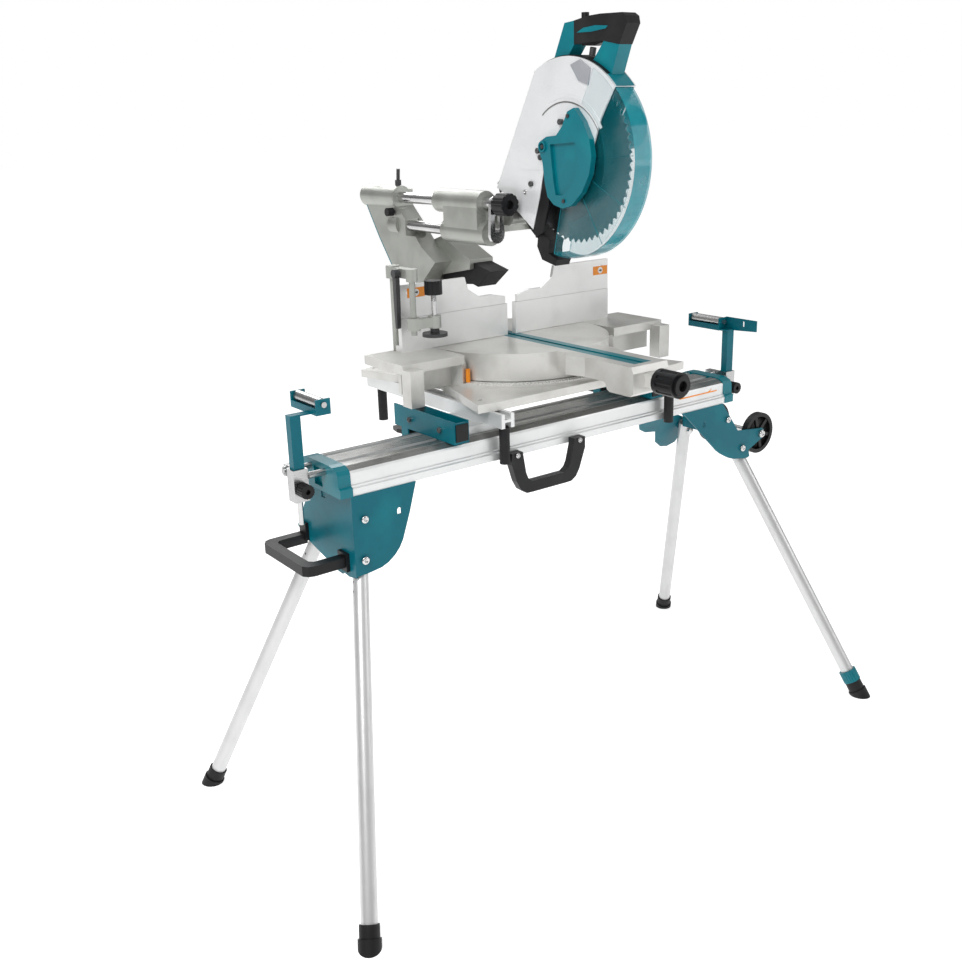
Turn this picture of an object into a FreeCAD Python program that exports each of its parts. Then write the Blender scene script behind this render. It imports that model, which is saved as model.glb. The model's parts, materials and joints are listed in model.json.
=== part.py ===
import FreeCAD
import Part
import math
import os

# Sliding compound mitre saw on a folding leg stand.  Millimetres, +Z up, the floor is z = 0.
# +X runs along the stand's beam towards the wheels, -Y is the operator's side.
os.makedirs("parts", exist_ok=True)

# Driving dimensions
BEAM_HALF = 473.0           # half length of the beam
BEAM_TOP = 717.0
ROD_YS = (17.0, 67.0)       # extension rods
ROD_Z = 705.0
ROD_R = 6.0
POST_X = 544.0              # roller support posts
POST_Y = 28.0
LEG_R = 14.5
LEG_WALL = 1.8
PIN_R = 5.0
RUN = 0.06                  # radial running clearance
SEAT_Z = 759.0              # the saw base stands at this height
TABLE_Z = 838.0             # saw table
SAW_X = 82.0                # blade plane
PIVOT_Y = 215.0             # mitre pivot
TABLE_R = 200.0
FENCE_HALF = 277.0
ARBOR = (18.0, 1197.0)      # blade axis, (y, z)
CHOP = (182.0, 1086.0)      # chop hinge, (y, z)
RAIL_X = 20.0
RAIL_UP = 1114.0
RAIL_LOW = 1054.0
RAIL_R = 12.0
BLADE_R = 152.5
WHEEL = (598.0, 573.0)      # wheel axle, (x, z)
WHEEL_R = 47.0
SHIFT = FreeCAD.Vector(-0.9, -168.7, 0.0)   # puts the middle of the footprint on the origin


def vec(x, y, z):
    return FreeCAD.Vector(x, y, z)


def box(x0, x1, y0, y1, z0, z1):
    return Part.makeBox(x1 - x0, y1 - y0, z1 - z0, vec(x0, y0, z0))


def cyl(p, d, r, h):
    return Part.makeCylinder(r, h, vec(*p), vec(*d))


def rod_x(y, z, r, x0, x1):
    return cyl((x0, y, z), (1, 0, 0), r, x1 - x0)


def rod_y(x, z, r, y0, y1):
    return cyl((x, y0, z), (0, 1, 0), r, y1 - y0)


def rod_z(x, y, r, z0, z1):
    return cyl((x, y, z0), (0, 0, 1), r, z1 - z0)


def face_of(points):
    return Part.Face(Part.makePolygon(points + [points[0]]))


def prism_x(pts, x0, x1):
    return face_of([vec(x0, y, z) for y, z in pts]).extrude(vec(x1 - x0, 0, 0))


def prism_y(pts, y0, y1):
    return face_of([vec(x, y0, z) for x, z in pts]).extrude(vec(0, y1 - y0, 0))


def prism_z(pts, z0, z1):
    return face_of([vec(x, y, z0) for x, y in pts]).extrude(vec(0, 0, z1 - z0))


def arc(cx, cy, r, a0, a1, n):
    out = []
    for i in range(n + 1):
        a = math.radians(a0 + (a1 - a0) * i / n)
        out.append((cx + r * math.cos(a), cy + r * math.sin(a)))
    return out


def wedge(cx, cy, r, a0, a1):
    # a pie slice big enough to cut rings of radius r into sectors
    return [(cx, cy)] + arc(cx, cy, r, a0, a1, 8)


def fuse(shapes):
    body = shapes[0]
    for s in shapes[1:]:
        body = body.fuse(s)
    return body.removeSplitter()


def cut(body, tools):
    for t in tools:
        body = body.cut(t)
    return body


def mirror_x(shape):
    return shape.mirror(vec(0, 0, 0), vec(1, 0, 0))


def shaft(p, d, r, back, ahead):
    # a cylinder along d through p, from `back` before it to `ahead` after it
    s = p.sub(FreeCAD.Vector(d).multiply(back))
    return Part.makeCylinder(r, back + ahead, s, d)


def export(name, shapes):
    solids = []
    for s in shapes:
        solids.extend(s.Solids)
    group = Part.makeCompound(solids) if len(solids) > 1 else solids[0]
    group.translate(SHIFT)
    group.exportStep("parts/" + name + ".step")


# ---------------------------------------------------------------- beam
beam_pts = [(-32, 666), (-32, 679), (-29, 681), (-29, 684), (-26, 685.5), (-26, 706), (-24, 710)]
beam_pts += [(-18, 713), (-10, 716), (-2, 717), (10, 717), (10, 698), (24, 698), (24, 717)]
beam_pts += [(60, 717), (60, 698), (74, 698), (74, 717), (76, 717), (84, 716), (92, 713)]
beam_pts += [(98, 710), (100, 706), (100, 685.5), (103, 684), (103, 681), (106, 679), (106, 666)]
beam = prism_x(beam_pts, -BEAM_HALF, BEAM_HALF)
rear_lobe = [(77, 669), (97, 669), (97, 706), (92, 710), (83, 713), (77, 714)]
front_lobe = [(-23, 669), (-23, 706), (-18, 710), (-9, 713), (-2, 714), (7, 714), (7, 669)]
chambers = [prism_x(rear_lobe, -BEAM_HALF, BEAM_HALF), prism_x(front_lobe, -BEAM_HALF, BEAM_HALF)]
chambers.append(box(-BEAM_HALF, BEAM_HALF, 10, 24, 669, 695))
chambers.append(box(-BEAM_HALF, BEAM_HALF, 27, 57, 669, 714))
chambers.append(box(-BEAM_HALF, BEAM_HALF, 60, 74, 669, 695))
beam = cut(beam, chambers)
for y in (30, 34, 40, 44, 50, 54, 80, -6):
    beam = beam.cut(box(-BEAM_HALF, BEAM_HALF, y - 0.6, y + 0.6, 716, 718))
export("main_beam", [beam])

cap_pts = [(-34, 666), (-34, 682), (-29, 684), (-28, 706), (-24, 713), (-12, 718), (2, 719)]
cap_pts += [(72, 719), (86, 718), (98, 713), (102, 706), (103, 684), (108, 682), (108, 666)]
cap = prism_x(cap_pts, BEAM_HALF, BEAM_HALF + 25)
for y in ROD_YS:
    cap = cap.cut(rod_x(y, ROD_Z, ROD_R + RUN, BEAM_HALF, BEAM_HALF + 25))
cap = cap.cut(prism_x([(28, 674), (28, 708), (56, 708), (56, 674)], BEAM_HALF + 18, BEAM_HALF + 25))
export("beam_end_caps", [cap, mirror_x(cap)])

# ---------------------------------------------------------------- legs
FOLD = math.radians(3.0)
LEGS = (
    ("front_left", vec(-446, 4, 548), vec(-649, -301, 8), 1, -1, 20.0),
    ("rear_left", vec(-449, 134, 555), vec(-652, 306, 8), 1, 1, 20.0),
    ("front_right", vec(543, 3, 551), vec(650, -308, 8), -1, -1, 20.0),
    ("rear_right", vec(541, 147, 560), vec(656, 311, 8), -1, 1, 16.0),
)
stand_metal = []
bosses = {1: [], -1: []}
for name, p, q, side, face, top in LEGS:
    d = q.sub(p).normalize()
    fold = vec(side * math.cos(FOLD), 0, side * math.sin(FOLD))
    n = d.cross(fold).normalize()
    out = n if n.y * face > 0 else n.negative()
    length = p.z / -d.z
    reach = 64.0 if name == "front_right" else 30.0
    leg = shaft(p, d, LEG_R, top, length - reach)
    leg = leg.cut(shaft(p, d, LEG_R - LEG_WALL, top, length - reach))
    leg = leg.cut(shaft(p, n, PIN_R + RUN, 30, 30))
    across = n.cross(d)
    for s in (58, 76):
        leg = leg.cut(shaft(p.add(FreeCAD.Vector(d).multiply(s)), across, 2.2, 30, 0))
    end = p.add(FreeCAD.Vector(d).multiply(length))
    below = box(end.x - 90, end.x + 90, end.y - 90, end.y + 90, -80, 0)
    foot = shaft(end, d, 17.5, 36, 40).fuse(shaft(end, d, 20.0, 14, 40))
    foot = foot.cut(below)
    if name == "front_right":
        foot = foot.fuse(shaft(end, d, 8.0, 84, 20).cut(below))
        foot = foot.fuse(shaft(end, d, LEG_R - LEG_WALL, 84, -66))
        ring = shaft(end, d, 19.0, 63.5, -36.5)
        for i in range(20):
            a = 2 * math.pi * i / 20
            e = FreeCAD.Vector(n).multiply(20.3 * math.cos(a))
            e = e.add(FreeCAD.Vector(across).multiply(20.3 * math.sin(a)))
            ring = ring.cut(shaft(end.add(e), d, 2.2, 70, -30))
        ring = ring.cut(shaft(end, d, 8.0 + RUN, 70, -30))
        export("foot_adjuster", [ring])
    else:
        foot = foot.cut(shaft(end, d, LEG_R, 40, -30))
    export("leg_" + name, [leg, foot.removeSplitter()])
    grip_len = 18 if name == "rear_right" else 28
    stand_metal.append(shaft(p, out, PIN_R, 17, grip_len).fuse(shaft(p, out, 8.0, 20.5, -16.5)))
    boss = shaft(p, out, 9.0, -16, 62).cut(shaft(p, out, PIN_R, -10, grip_len))
    bosses[side].append(boss)

# ---------------------------------------------------------------- leg brackets
LEAN = (178.0 - 106.0) / (664.0 - 551.0)


def leaning(pts, thick):
    # sheet that leans outwards in front of the rear legs; pts are (x, z)
    return face_of([vec(x, 106 + (664 - z) * LEAN, z) for x, z in pts]).extrude(vec(0, -thick, 0))


behind = prism_x([(100, 673.4), (300, 359.5), (300, 673.4)], -700, 700)
ahead = box(-700, 700, -200, -32, 400, 700)

front_pts = [(-475, 666), (-344, 666), (-360, 612), (-377, 564), (-385, 550), (-396, 538)]
front_pts += [(-410, 528), (-425, 522), (-450, 518.5), (-475, 517)]
end_pts = [(-34, 666), (-34, 515), (-8, 510), (12, 513), (15, 508), (30, 509), (136, 536)]
end_pts += [(172, 553), (178, 556), (106, 664), (106, 666)]
rear_pts = [(-475, 664), (-348, 664), (-364, 612), (-392, 566), (-410, 556), (-475, 553)]
left = fuse([prism_y(front_pts, -34, -31), prism_x(end_pts, -478, -475),
             box(-475, -346, -34, 106, 663, 666), leaning(rear_pts, 3.4)])
left = left.cut(rod_y(-382, 621, 4.5, -40, -20))
left = left.cut(box(-386.5, -377.5, -40, -20, 613, 621))
left = left.cut(box(-480, -470, 60, 74, 640, 654))
for boss in bosses[1]:
    left = left.fuse(cut(boss, [behind, ahead]))
export("leg_bracket_left", [left.removeSplitter()])

front_pts = [(341, 666), (465, 666), (520, 594), (590, 586)]
front_pts += arc(WHEEL[0], WHEEL[1], 13, 110, -60, 6)
front_pts += [(559, 541), (563, 526), (556, 523), (540, 525), (513, 529), (494, 535)]
front_pts += [(480, 542), (464, 551), (450, 561), (420, 590)]
rear_pts = [(350, 664), (467, 664), (508, 600), (575, 572), (567, 508), (545, 500), (520, 505)]
rear_pts += [(491, 524), (467, 560), (428, 566), (404, 578), (390, 596), (372, 630)]
slope = [(465, 666), (468.6, 666), (508.6, 601), (508.6, 576), (505, 576), (505, 600)]
ear = [(505, 600), (505, 576), (560, 566)]
ear += arc(WHEEL[0], WHEEL[1], 13, -60, 110, 6)
right = fuse([prism_y(front_pts, -34, -31), prism_y(slope, -31, 120),
              box(343, 466, -34, 106, 663, 666), leaning(rear_pts, 3.4),
              prism_y(ear, 117, 120)])
right = right.cut(rod_y(408, 631, 4.5, -40, -20))
right = right.cut(box(403.5, 412.5, -40, -20, 623, 631))
for y in (-34, 100):
    right = right.cut(rod_y(WHEEL[0], WHEEL[1], 6.0, y, y + 30))
for boss in bosses[-1]:
    right = right.fuse(cut(boss, [behind, ahead]))
export("leg_bracket_right", [right.removeSplitter()])

# ---------------------------------------------------------------- carrying handles
loop = [(-138, 677), (-138, 655), (-127, 620), (-117, 602), (-103, 592.5), (-88, 592)]
loop += [(-4, 592), (10, 592.5), (22, 600), (31, 614), (46, 655), (46, 677)]
window = [(-112, 680), (-104, 634), (-99, 622), (-88, 614), (-8, 614), (2, 621), (8, 632)]
window += [(20, 680)]
handle = prism_y(loop, -50, -34).cut(prism_y(window, -50, -34))
handle = fuse([handle, box(-138, -110, -34, -32, 667, 677), box(18, 46, -34, -32, 667, 677)])
export("carry_handle", [handle])

outer = [(-478, -10), (-546, -10), (-556, -6), (-563, 4), (-563, 148), (-556, 158)]
outer += [(-546, 162), (-478, 162)]
inner = [(-478, 10), (-536, 10), (-543, 17), (-543, 135), (-536, 142), (-478, 142)]
end_bar = prism_z(outer, 530, 549).cut(prism_z(inner, 530, 549))
end_bar = fuse([end_bar, box(-485, -478, -14, 16, 522, 556), box(-485, -478, 134, 158, 538, 572)])
export("end_handle", [end_bar])

# ---------------------------------------------------------------- wheels
for name, y0 in (("wheel_front", -30.0), ("wheel_rear", 100.0)):
    wheel = rod_y(WHEEL[0], WHEEL[1], WHEEL_R, y0, y0 + 14)
    wheel = wheel.cut(rod_y(WHEEL[0], WHEEL[1], WHEEL_R - 9, y0, y0 + 14))
    wheel = wheel.fuse(rod_y(WHEEL[0], WHEEL[1], 13, y0, y0 + 14))
    for i in range(6):
        spoke = box(WHEEL[0] + 10, WHEEL[0] + 42, y0 + 2, y0 + 12, WHEEL[1] - 4, WHEEL[1] + 4)
        spoke.rotate(vec(WHEEL[0], 0, WHEEL[1]), vec(0, 1, 0), 60 * i + 15)
        wheel = wheel.fuse(spoke)
    wheel = wheel.cut(rod_y(WHEEL[0], WHEEL[1], 6 + RUN, y0, y0 + 14))
    export(name, [wheel.removeSplitter()])

# ---------------------------------------------------------------- roller supports
rods = [rod_x(y, ROD_Z, ROD_R, 60, e) for y, e in zip(ROD_YS, (530, 552))]
block = box(POST_X - 14, POST_X + 14, POST_Y - 12, POST_Y + 12, 660, 718)
block = block.cut(box(POST_X - 10.35, POST_X + 10.35, POST_Y - 8.35, POST_Y + 8.35, 660, 718))
block = block.cut(rod_y(POST_X, 683, 4 + RUN, 10, 22))
cross = box(530, 545, 40, 78, 694, 715)
arm = fuse([block, cross, rods[0], rods[1], rod_x(67, ROD_Z, 9, 545, 550)])
export("extension_arm_right", [arm.copy()])
export("extension_arm_left", [mirror_x(arm)])

knob = rod_y(POST_X, 683, 12.75, -6, 14)
for i in range(16):
    a = math.radians(22.5 * i)
    x = POST_X + 13.8 * math.cos(a)
    knob = knob.cut(rod_y(x, 683 + 13.8 * math.sin(a), 2.0, -6, 14))
knob = knob.cut(rod_y(POST_X, 683, 4.5, -6, 0)).fuse(rod_y(POST_X, 683, 4, 14, 19.3))
export("support_knob_right", [knob.copy()])
export("support_knob_left", [mirror_x(knob)])

bar = box(POST_X - 10, POST_X + 10, POST_Y - 8, POST_Y + 8, 664, 810)
bar = bar.cut(box(POST_X - 8, POST_X + 8, POST_Y - 6, POST_Y + 6, 667, 810))


def cradle(cx, y0, y1):
    # open channel that carries the roller between two upright end plates
    tray = box(cx - 14, cx + 14, y0, y1, 810, 813)
    sides = [box(cx - 14, cx - 12, y0, y1, 813, 822), box(cx + 12, cx + 14, y0, y1, 813, 822)]
    ends = [box(cx - 14, cx + 14, y, y + 3, 813, 837.5) for y in (y0, y1 - 3)]
    tray = fuse([tray] + sides + ends)
    return tray.cut(rod_y(cx, 828, 3 + RUN, y0, y1))


ROLLER_X = 500.0
post_left = mirror_x(bar).fuse(box(-554, -514, 20, 36, 810, 813))
post_left = post_left.fuse(cradle(-ROLLER_X, 0, 92))
post_left = post_left.fuse(rod_z(-POST_X, POST_Y, 5, 616, 664)).removeSplitter()
export("support_post_left", [post_left])
flag = prism_x([(-44, 814), (-44, 838), (43, 838), (43, 810), (20, 810)], 552, 555)
flag = flag.cut(rod_x(-8, 823, 2.6, 550, 560)).cut(rod_x(-8, 831, 2.6, 550, 560))
flag = flag.cut(box(550, 560, -10.6, -5.4, 823, 831))
post_right = fuse([bar, box(POST_X - 14, 555, 20, 43, 810, 813), cradle(541, 40, 132), flag])
export("support_post_right", [post_right])
for name, cx, y0 in (("left", -ROLLER_X, 0.0), ("right", 541.0, 40.0)):
    roller = rod_y(cx, 828, 10, y0 + 3.5, y0 + 88.5)
    roller = roller.fuse(rod_y(cx, 828, 3, y0 - 1, y0 + 93)).fuse(rod_y(cx, 828, 5, y0 - 4, y0 - 0.4))
    export("support_roller_" + name, [roller])

# ---------------------------------------------------------------- saw mounts
clamps = []
rails = []
feet = []
for side, x0, x1, rail_x in (("left", -261.0, -228.0, -150.0), ("right", 237.0, 269.0, 285.0)):
    channel = box(x0, x1, -40, 160, BEAM_TOP, SEAT_Z).cut(box(x0 + 3, x1 - 3, -40, 160, 720, SEAT_Z))
    channel = channel.fuse(box(x0 + 3, x1 - 3, -40, -34, 720, 756))
    mid = (x0 + x1) / 2
    for a, b in ((x0, x0 + 3), (x1 - 3, x1)):
        channel = channel.fuse(box(a, b, 115, 137, 695, 720))
    channel = channel.fuse(rod_x(126, 705, 3, x0, x1)).removeSplitter()
    clamps.append(channel)
    lever = fuse([rod_x(126, 705, 8, x0 + 3.4, x1 - 3.4),
                  prism_z([(mid - 9, 128), (mid - 13, 160), (mid - 7, 184), (mid + 7, 184),
                           (mid + 13, 160), (mid + 9, 128)], 699, 707)])
    lever = lever.cut(rod_x(126, 705, 3 + RUN, x0, x1))
    export("clamp_lever_" + side, [lever])
    sect = [(-15, 732), (-7, 732), (-7, 743), (7, 743), (7, 732), (15, 732), (15, 759), (7, 759)]
    sect += [(7, 748), (-7, 748), (-7, 759), (-15, 759)]
    rails.append(prism_y([(rail_x + x, z) for x, z in sect], -56, 420))
    rails.append(box(x1, rail_x + 20, 0, 106, BEAM_TOP, 732))
    for y in (-44, 385):
        feet.append(rod_z(rail_x, y, 10, 661, 732))
export("mount_clamps", clamps)
export("mount_rails", rails)
export("rail_feet", feet)

for x, y in ((-261, 102), (-261, 2)):
    stand_metal.append(rod_x(y, 738, 5, x - 4, x))
for x, z in ((-455, 621), (-459, 545), (482, 627), (535, 551)):
    stand_metal.append(rod_y(x, z, 6.5, -37, -34))
axle = fuse([rod_y(WHEEL[0], WHEEL[1], 6, -34, 120), rod_y(WHEEL[0], WHEEL[1], 9, -38, -34),
             rod_y(WHEEL[0], WHEEL[1], 9, 120, 124), rod_y(WHEEL[0], WHEEL[1], 9, 114.6, 116.9),
             rod_y(WHEEL[0], WHEEL[1], 9, 97, 99.4), rod_y(WHEEL[0], WHEEL[1], 9, -15.4, -13)])
stand_metal.append(axle)
for x in (-124, 32):
    stand_metal.append(rod_y(x, 672, 4, -53, -50))
export("stand_fasteners", stand_metal)

# ---------------------------------------------------------------- saw base and turntable
def pan(pts):
    # the saw's own (y, z) outlines are given from the blade axis
    return [(ARBOR[0] + y, ARBOR[1] + z) for y, z in pts]


plate = prism_z([(-190, -18), (-150, -24), (314, -24), (354, -18), (300, 190), (354, 400),
                 (314, 410), (-150, 410), (-190, 400), (-130, 190)], SEAT_Z, 775)
base = plate.fuse(rod_z(SAW_X, PIVOT_Y, 222, 770, 780))
wall = rod_z(SAW_X, PIVOT_Y, 222, 775, 822).cut(rod_z(SAW_X, PIVOT_Y, 206, 775, 822))
for a in (0, 180):
    base = base.fuse(wall.common(prism_z(wedge(SAW_X, PIVOT_Y, 260, a - 24, a + 24), 775, 822)))
bore = rod_z(SAW_X, PIVOT_Y, TABLE_R + 1.5, 781, 850)
for s in (-1, 1):
    x0, x1 = sorted((SAW_X + s * 200, SAW_X + s * 344))
    base = base.fuse(box(x0, x1, 120, 260, 820, TABLE_Z))
    x0, x1 = sorted((SAW_X + s * 314, SAW_X + s * 344))
    base = base.fuse(box(x0, x1, 95, 125, SEAT_Z, 830))
    x0, x1 = sorted((SAW_X + s * 210, SAW_X + s * 330))
    base = base.fuse(box(x0, x1, 150, 160, 775, 820))
base = base.cut(bore).fuse(rod_z(SAW_X, PIVOT_Y, 15, 779, 800))
for x in (-176, 340):
    for y in (0, 382):
        base = base.cut(rod_z(x + (14 if x < 0 else -14), y + 12, 4.5, 750, 780))
base = base.cut(rod_z(-190, 252, 7, 826, 840))
export("saw_base", [base.removeSplitter()])

scale_ring = rod_z(SAW_X, PIVOT_Y, 222, 780, 782).cut(rod_z(SAW_X, PIVOT_Y, 202, 780, 782))
scale_ring = scale_ring.common(prism_z(wedge(SAW_X, PIVOT_Y, 260, 206, 334), 780, 782))
export("mitre_scale", [scale_ring, rod_z(-108, 124, 4.7, 782, 808)])

table = rod_z(SAW_X, PIVOT_Y, TABLE_R, 783, TABLE_Z)
table = table.cut(rod_z(SAW_X, PIVOT_Y, TABLE_R - 8, 783, 826))
table = table.fuse(rod_z(SAW_X, PIVOT_Y, 30, 783, 828))
for a in (0, 60, 120):
    rib = box(SAW_X - TABLE_R + 4, SAW_X + TABLE_R - 4, PIVOT_Y - 3, PIVOT_Y + 3, 786, 828)
    rib.rotate(vec(SAW_X, PIVOT_Y, 0), vec(0, 0, 1), a)
    table = table.fuse(rib)
arm_side = [(60, 800), (-112, 800), (-118, 796), (-122, 786), (-130, 782), (-184, 782)]
arm_side += [(-192, 788), (-192, 826), (-186, TABLE_Z), (60, TABLE_Z)]
front_arm = prism_x(arm_side, SAW_X - 46, SAW_X + 46)
front_arm = front_arm.cut(prism_x([(60, 700), (60, 826), (-184, 826), (-184, 792), (-150, 790),
                                   (-120, 798), (-112, 700)], SAW_X - 40, SAW_X + 40))
nose = [(SAW_X - 60, -20), (SAW_X - 46, -60), (SAW_X + 46, -60), (SAW_X + 60, -20), (SAW_X, 30)]
table = table.fuse(front_arm).fuse(prism_z(nose, 800, TABLE_Z))
tail = box(SAW_X - 50, SAW_X + 50, 380, 440, 800, TABLE_Z).fuse(rod_y(SAW_X, TABLE_Z, 55, 404, 440))
table = table.fuse(tail.cut(box(0, 200, 380, 404, TABLE_Z, 900)))
table = table.cut(box(SAW_X - 22, SAW_X + 22, -170, 320, 834, 840))
table = table.cut(box(SAW_X - 17, SAW_X + 17, -166, 316, 808, 840))
table = table.cut(rod_z(SAW_X, PIVOT_Y, 15 + RUN, 783, 801))
table = table.fuse(rod_y(SAW_X, TABLE_Z, 12, 436, 474))
table = table.fuse(box(SAW_X - 17, SAW_X + 17, -212, -190, 797, 823))
table = table.cut(rod_y(SAW_X, 810, 6 + RUN, -216, -192))
for x in (SAW_X + 19, SAW_X + 36.4):
    table = table.fuse(box(x, x + 4.6, -206, -190, 806, 818))
table = table.fuse(rod_x(-200, 812, 3, SAW_X + 19, SAW_X + 41))
export("turntable", [table])

insert = box(SAW_X - 22, SAW_X - 4.8, -170, 320, 834, TABLE_Z)
insert = insert.cut(box(SAW_X - 9, SAW_X, 60, 320, 830, 836))
export("kerf_plates", [insert, insert.mirror(vec(SAW_X, 0, 0), vec(1, 0, 0))])

grip = rod_y(SAW_X, 810, 24, -266, -214).fuse(rod_y(SAW_X, 810, 19, -272, -214))
for i in range(10):
    a = math.radians(36 * i)
    x = SAW_X + 27 * math.cos(a)
    grip = grip.cut(rod_y(x, 810 + 27 * math.sin(a), 5, -262, -224))
grip = grip.cut(rod_y(SAW_X, 810, 10, -272, -262)).fuse(rod_y(SAW_X, 810, 6, -214, -194))
export("mitre_grip", [grip.removeSplitter()])
latch = fuse([box(SAW_X + 24, SAW_X + 36, -206, -197, 790, 812),
              box(SAW_X + 24, SAW_X + 36, -216, -203, 786, 793),
              rod_x(-200, 812, 7, SAW_X + 24, SAW_X + 36)])
latch = latch.cut(rod_x(-200, 812, 3 + RUN, SAW_X + 20, SAW_X + 40))
export("mitre_lock_lever", [latch])

# ---------------------------------------------------------------- fence and vise
fence = []
slides = {}
for name, s in (("left", -1), ("right", 1)):
    x0, x1 = sorted((SAW_X + s * 11, SAW_X + s * FENCE_HALF))
    lower = box(x0, x1, 223, 235, 838.6, 905)
    x0, x1 = sorted((SAW_X + s * 206, SAW_X + s * FENCE_HALF))
    lower = lower.fuse(box(x0, x1, 235, 256, TABLE_Z, 850)).fuse(box(x0, x1, 223, 235, TABLE_Z, 840))
    x0, x1 = sorted((SAW_X + s * 30, SAW_X + s * FENCE_HALF))
    lower = lower.fuse(box(x0, x1, 231, 235, 900, 921))
    fence.append(lower.removeSplitter().cut(rod_z(-190, 252, 7, 830, 860)))
    pts = [(276, 905.5), (276, 971), (119, 971), (113, 947), (83, 928), (49, 928), (16, 921)]
    pts += [(16, 905.5)]
    upper = prism_y([(SAW_X + s * x, z) for x, z in pts], 223, 230.6)
    upper = upper.cut(rod_y(SAW_X + s * 256, 955, 5, 220, 240))
    slides[name] = upper
export("fence_base", fence)
export("fence_slide_left", [slides["left"]])
export("fence_slide_right", [slides["right"]])

VISE = (-150.0, 172.0)
post = rod_z(-190, 252, 7, 828, 990)
head = fuse([box(-200, -180, 176, 252, 988, 1006), rod_z(-190, 252, 14, 984, 1008),
             rod_z(-196, 176, 11, 984, 1008)])
post = fuse([post, head, rod_z(-196, 176, 6, 880, 988)])
post = post.cut(rod_x(214, 997, 3 + RUN, -202, -180))
export("vise_post", [post])
clamp_arm = box(-196, -150, 163, 181, 893, 912).fuse(rod_z(VISE[0], VISE[1], 13, 890, 914))
clamp_arm = clamp_arm.fuse(rod_z(-196, 176, 13, 890, 914))
clamp_arm = clamp_arm.cut(rod_z(-196, 176, 6 + RUN, 880, 920))
clamp_arm = clamp_arm.cut(rod_z(VISE[0], VISE[1], 5 + RUN, 880, 920))
export("vise_arm", [clamp_arm.removeSplitter()])
screw = rod_z(VISE[0], VISE[1], 5, 889, 955).fuse(rod_z(VISE[0], VISE[1], 17.5, 955, 982))
for i in range(8):
    a = math.radians(45 * i)
    x = VISE[0] + 20 * math.cos(a)
    screw = screw.cut(rod_z(x, VISE[1] + 20 * math.sin(a), 4, 953, 984))
screw = screw.fuse(rod_z(VISE[0], VISE[1], 4, 881.5, 889))
export("vise_screw", [screw.removeSplitter()])
pad = rod_z(VISE[0], VISE[1], 25, 873.5, 880).fuse(rod_z(VISE[0], VISE[1], 9, 879, 888.5))
pad = pad.cut(rod_z(VISE[0], VISE[1], 4 + RUN, 881, 889))
export("vise_pad", [pad])
lever = fuse([rod_x(214, 997, 8, -214, -202.4), rod_x(214, 997, 3, -202.4, -186),
              prism_x([(208, 990), (220, 990), (219, 930), (217, 890), (211, 890), (209, 930)],
                      -212, -203)])
export("vise_lever", [lever])

# ---------------------------------------------------------------- rear casting and slide rails
box_arm = prism_x([(564, 948), (559, 993), (427, 1033), (323, 990), (324, 969), (477, 940)],
                  50, 112)
box_arm = box_arm.cut(prism_x([(545, 955), (480, 946), (324, 974), (324, 962), (477, 930),
                               (545, 938)], 54, 108))
column = prism_x([(671, 1114), (657, 1088), (612, 1022), (563, 960), (500, 930), (447, 932),
                  (391, 982), (440, 1010), (493, 1060), (533, 1095), (533, 1130), (600, 1136),
                  (660, 1134)], 6, 50)
for z, y in ((RAIL_LOW, 502.5), (RAIL_UP, 529.0)):
    column = column.cut(rod_y(RAIL_X, z, 25.2, 400, y))
column = column.cut(box(-5, 44.7, 400, 489.5, RAIL_LOW, RAIL_UP))
column = column.cut(prism_x([(630, 1085), (600, 1032), (545, 970), (500, 950), (470, 960),
                             (520, 1030), (570, 1085)], 34, 50))
foot = prism_y([(22, TABLE_Z), (40, 800), (124, 800), (142, TABLE_Z), (118, 960), (6, 975),
                (6, 940)], 443, 472)
foot = foot.fuse(rod_y(SAW_X, TABLE_Z, 60, 443, 470))
bevel = fuse([column, box_arm, foot, rod_y(RAIL_X, RAIL_UP, 25, 533, 673),
              rod_y(RAIL_X, RAIL_LOW, 22, 530, 566), prism_x([(472, 880), (472, 960),
              (540, 960)], 50, 112)])
bevel = bevel.cut(rod_y(SAW_X, TABLE_Z, 12 + RUN, 440, 476))
bevel = bevel.cut(rod_y(RAIL_X, RAIL_UP, RAIL_R, 440, 586))
bevel = bevel.cut(rod_y(RAIL_X, RAIL_LOW, RAIL_R, 440, 546))
bevel = bevel.cut(rod_x(546, 1083, 4 + RUN, 0, 22))
bevel = bevel.fuse(rod_z(RAIL_X, 545, 4, 1137, 1150))
export("bevel_arm", [bevel.removeSplitter()])

link = prism_y([(RAIL_X + y, z) for y, z in arc(0, RAIL_UP, 15, 0, 180, 12)
                + arc(0, RAIL_LOW, 18, 180, 360, 12)], 184, 192)
link = link.cut(prism_y([(RAIL_X + y, z) for y, z in arc(0, 1088, 6, 0, 180, 8)
                         + arc(0, 1062, 6, 180, 360, 8)], 184, 192))
upper_rail = rod_y(RAIL_X, RAIL_UP, RAIL_R, 192, 586).cut(rod_y(RAIL_X, RAIL_UP, 7, 232, 586))
upper_rail = upper_rail.cut(rod_y(RAIL_X, RAIL_UP, 6 + RUN, 192, 232))
link = link.cut(rod_y(RAIL_X, RAIL_UP, 6 + RUN, 184, 192))
lower_rail = rod_y(RAIL_X, RAIL_LOW, RAIL_R, 192, 546).cut(rod_y(RAIL_X, RAIL_LOW, 7, 200, 546))
export("slide_rails", [upper_rail, lower_rail, link])
knob = rod_y(RAIL_X, RAIL_UP, 22, 142, 176).fuse(rod_y(RAIL_X, RAIL_UP, 15, 176, 183.6))
for i in range(12):
    a = math.radians(30 * i)
    x = RAIL_X + 24 * math.cos(a)
    knob = knob.cut(rod_y(x, RAIL_UP + 24 * math.sin(a), 3.5, 142, 177))
knob = knob.cut(rod_y(RAIL_X, RAIL_UP, 9, 142, 150)).fuse(rod_y(RAIL_X, RAIL_UP, 6, 183, 226))
export("bevel_lock_knob", [knob.removeSplitter()])
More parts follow.
